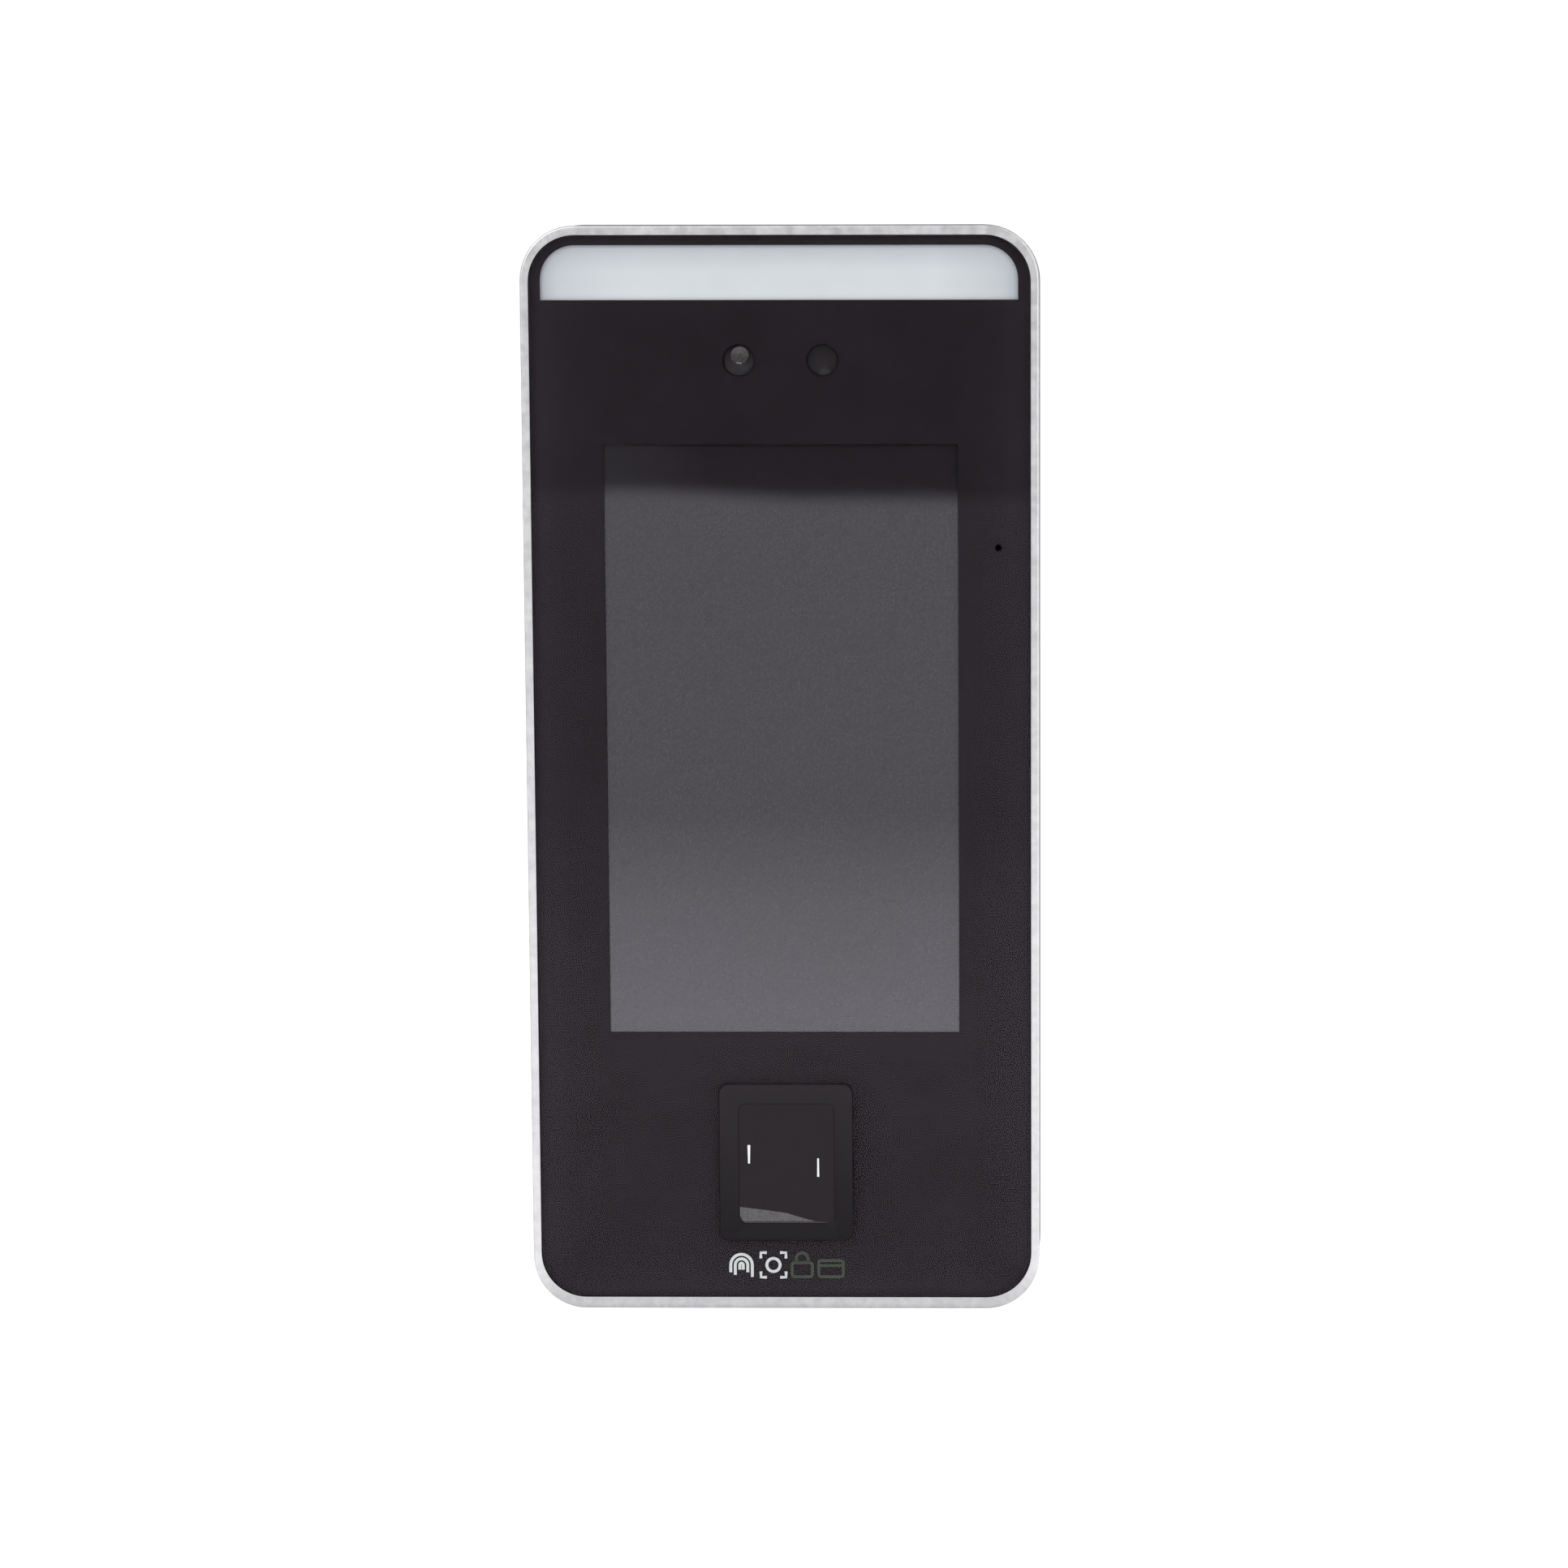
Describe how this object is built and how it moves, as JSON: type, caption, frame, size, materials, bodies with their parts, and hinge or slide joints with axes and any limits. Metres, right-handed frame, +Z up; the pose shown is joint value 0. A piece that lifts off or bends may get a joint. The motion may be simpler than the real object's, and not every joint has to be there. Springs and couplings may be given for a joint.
{
  "type": "fingerprint scanner terminal",
  "caption": "Wall terminal with a tall touch screen, fill light, twin cameras and a sunk fingerprint reader, on a hooked wall bracket.",
  "frame": {"origin": "back face of the wall bracket, in the middle of the terminal's width and height", "axes": "+Z up, +Y into the wall, +X to the right seen from the front"},
  "size_m": [0.095, 0.022, 0.2017],
  "materials": {
    "clear_glass": "polished cover glass",
    "black_print": "black ink printed on the glass's back",
    "blasted_aluminium": "bead blasted, clear anodised",
    "black_abs": "fine moulded texture",
    "gloss_black": "smooth, dark when off",
    "black_rubber": "soft, matt",
    "opal_acrylic": "opal, light passes through",
    "white_nylon": "natural nylon",
    "green_board": "solder mask",
    "amber_film": "polyimide film",
    "zinc_steel": "zinc plated",
    "brass": "plain",
    "coated_glass": "coated, nearly black"
  },
  "bodies": {
    "bracket": {"wall_bracket": "zinc_steel", "security_screw": "zinc_steel"},
    "terminal": {"front_glass": "clear_glass", "glass_print": "black_print", "front_frame": "blasted_aluminium", "seal_gasket": "black_rubber", "rear_cover": "black_abs", "light_diffuser": "opal_acrylic", "light_board": "green_board", "visible_camera": "black_abs", "infrared_camera": "black_abs", "visible_lens": "coated_glass", "infrared_lens": "coated_glass", "infrared_lamps_left": "green_board", "infrared_lamps_right": "green_board", "camera_board": "green_board", "screen_panel": "gloss_black", "screen_backlight": "zinc_steel", "screen_carrier": "black_abs", "screen_cable": "amber_film", "reader_bezel": "black_abs", "sensor_glass": "coated_glass", "reader_gasket": "black_rubber", "sensor_module": "black_abs", "reader_cable": "amber_film", "main_board": "green_board", "processor_shield": "zinc_steel", "lock_relay": "white_nylon", "cell_holder": "black_abs", "coin_cell": "zinc_steel", "power_header": "white_nylon", "lock_header": "white_nylon", "network_header": "white_nylon", "speaker": "black_abs", "speaker_gasket": "black_rubber", "microphone": "zinc_steel", "card_antenna": "green_board", "wireless_antenna": "amber_film", "tamper_switch": "black_abs", "reset_switch": "black_abs", "usb_socket": "zinc_steel", "cover_screw_1": "zinc_steel", "cover_screw_2": "zinc_steel", "cover_screw_3": "zinc_steel", "cover_screw_4": "zinc_steel", "cover_screw_5": "zinc_steel", "cover_screw_6": "zinc_steel", "threaded_insert": "brass"},
    "tamper": {"tamper_plunger": "white_nylon"},
    "reset": {"reset_button": "white_nylon"},
    "flap": {"usb_flap": "black_rubber"}
  },
  "joints": [
    {"name": "terminal_lift", "type": "slide", "parent": "bracket", "child": "terminal", "axis": [0, 0, 1], "range_m": [0, 0.006]},
    {"name": "tamper_press", "type": "slide", "parent": "terminal", "child": "tamper", "axis": [0, -1, 0], "range_m": [0, 0.001], "stiffness_N_per_m": 300},
    {"name": "reset_press", "type": "slide", "parent": "terminal", "child": "reset", "axis": [0, -1, 0], "range_m": [0, 0.0004], "stiffness_N_per_m": 800},
    {"name": "flap_swing", "type": "hinge", "parent": "terminal", "child": "flap", "pos_m": [0.027, -0.0085, -0.1007], "axis": [-1, 0, 0], "range_deg": [0, 100]}
  ]
}
